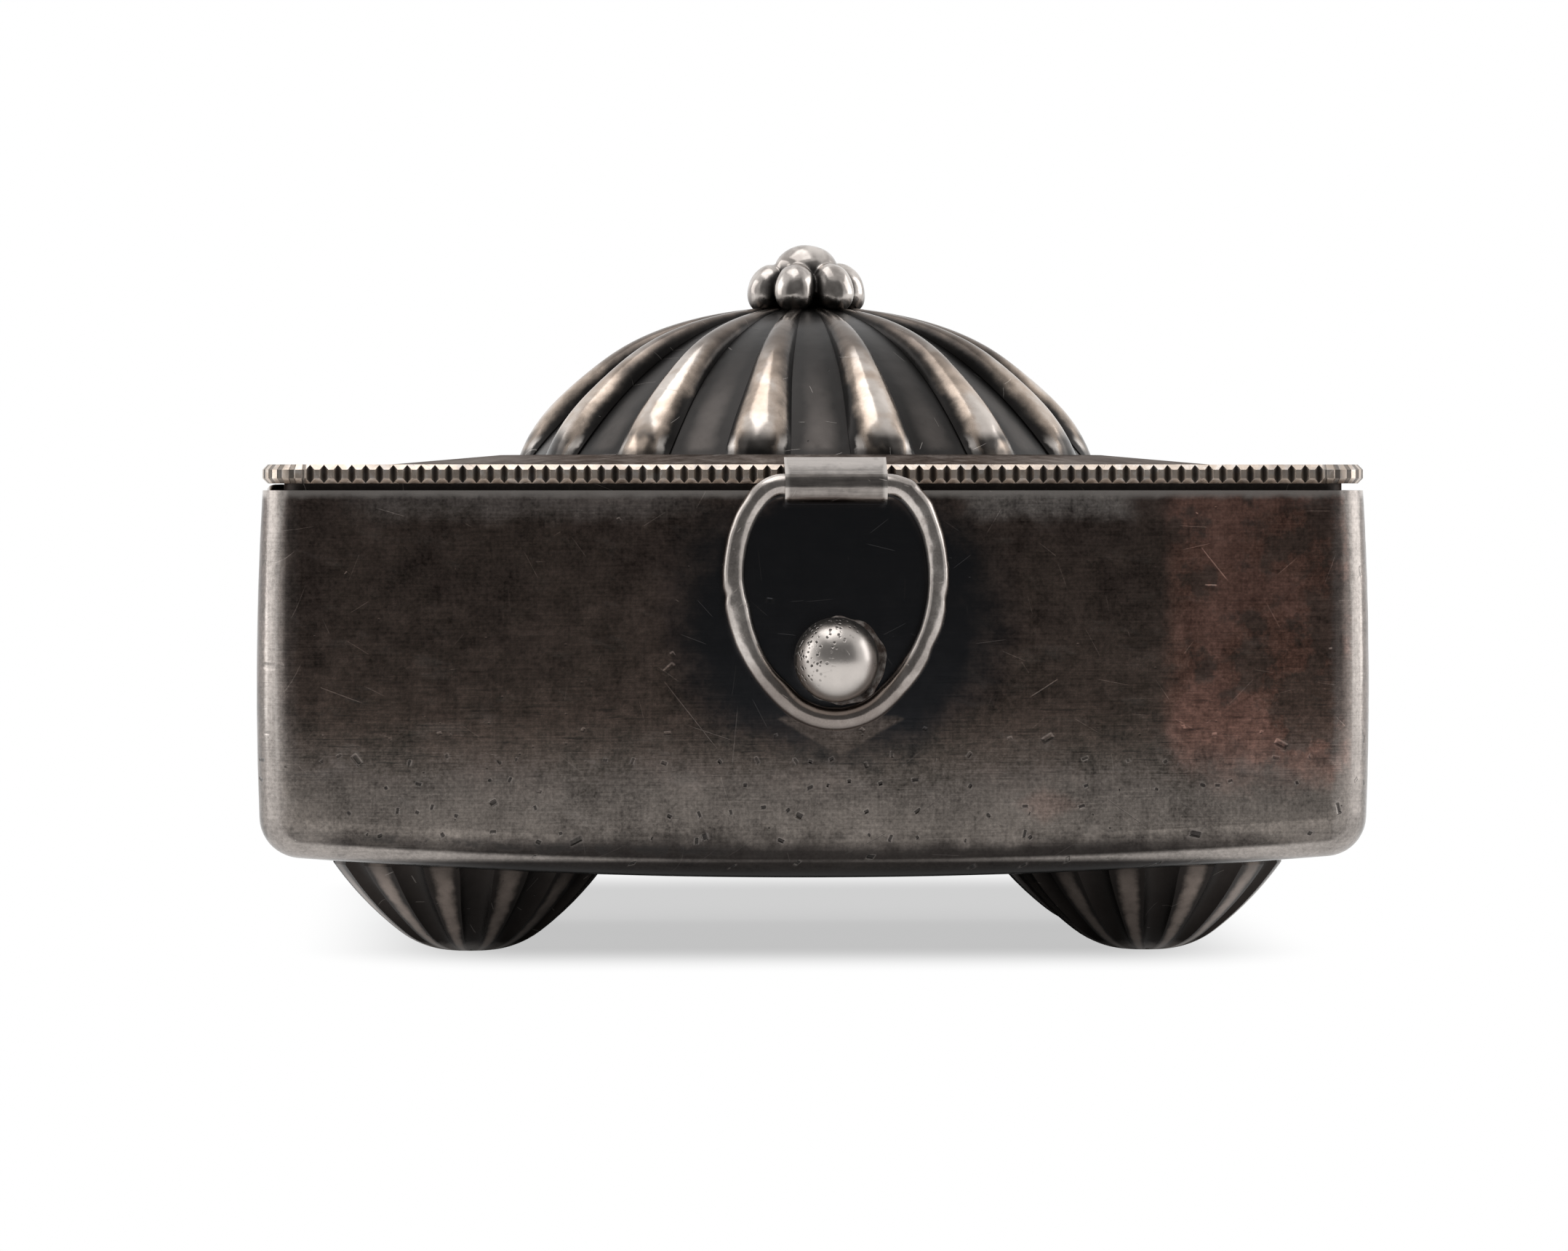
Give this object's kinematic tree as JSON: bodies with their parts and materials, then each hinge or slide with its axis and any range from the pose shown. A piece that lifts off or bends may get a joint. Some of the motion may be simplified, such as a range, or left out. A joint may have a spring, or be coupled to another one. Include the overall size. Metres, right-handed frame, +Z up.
{
  "type": "silver box",
  "caption": "Small rectangular silver box on fluted dome feet, with a hinged lid, fluted dome, bead finial and a ring clasp over a ball catch.",
  "frame": {"origin": "on the table under the middle of the whole footprint, from the front of the catch ball to the back of the hinge", "axes": "+Z up, -Y to the front with the clasp, +X to the right as seen from the front"},
  "size_m": [0.0646, 0.0553, 0.042],
  "materials": {
    "wall_silver": "oxidised silver sheet, brown-black patina worn bright at the edges",
    "pan_silver": "oxidised silver sheet, rubbed grey",
    "foot_silver": "blackened silver with worn ridges",
    "lid_silver": "oxidised silver sheet, rubbed",
    "rim_silver": "bright filed silver wire with black cuts",
    "dome_silver": "warm polished silver with darkened hollows",
    "bead_silver": "polished silver shot, dark in the joints",
    "ball_silver": "polished silver with a few pores",
    "clasp_silver": "satin silver strip",
    "ring_silver": "rubbed silver wire",
    "hinge_silver": "drawn silver tube, darkened",
    "pin_silver": "silver wire"
  },
  "bodies": {
    "box": {"wall_band": "wall_silver", "bottom_pan": "pan_silver", "foot_front_left": "foot_silver", "foot_front_right": "foot_silver", "foot_back_left": "foot_silver", "foot_back_right": "foot_silver", "catch_ball": "ball_silver", "hinge_knuckle_left": "hinge_silver", "hinge_knuckle_right": "hinge_silver", "hinge_pin": "pin_silver"},
    "lid": {"lid_plate": "lid_silver", "lid_bezel": "lid_silver", "lid_rim": "rim_silver", "lid_dome": "dome_silver", "finial_top_bead": "bead_silver", "finial_side_bead_1": "bead_silver", "finial_side_bead_2": "bead_silver", "finial_side_bead_3": "bead_silver", "finial_side_bead_4": "bead_silver", "finial_side_bead_5": "bead_silver", "finial_side_bead_6": "bead_silver", "hinge_knuckle_lid": "hinge_silver", "clasp_knuckle": "clasp_silver"},
    "clasp": {"clasp_ring": "ring_silver"}
  },
  "joints": [
    {"name": "lid_hinge", "type": "hinge", "parent": "box", "child": "lid", "pos_m": [0, 0.02645, 0.0274], "axis": [-1, 0, 0], "range_deg": [0, 110]},
    {"name": "clasp_swing", "type": "hinge", "parent": "lid", "child": "clasp", "pos_m": [0.0011, -0.02425, 0.0275], "axis": [-1, 0, 0], "range_deg": [0, 180]}
  ]
}
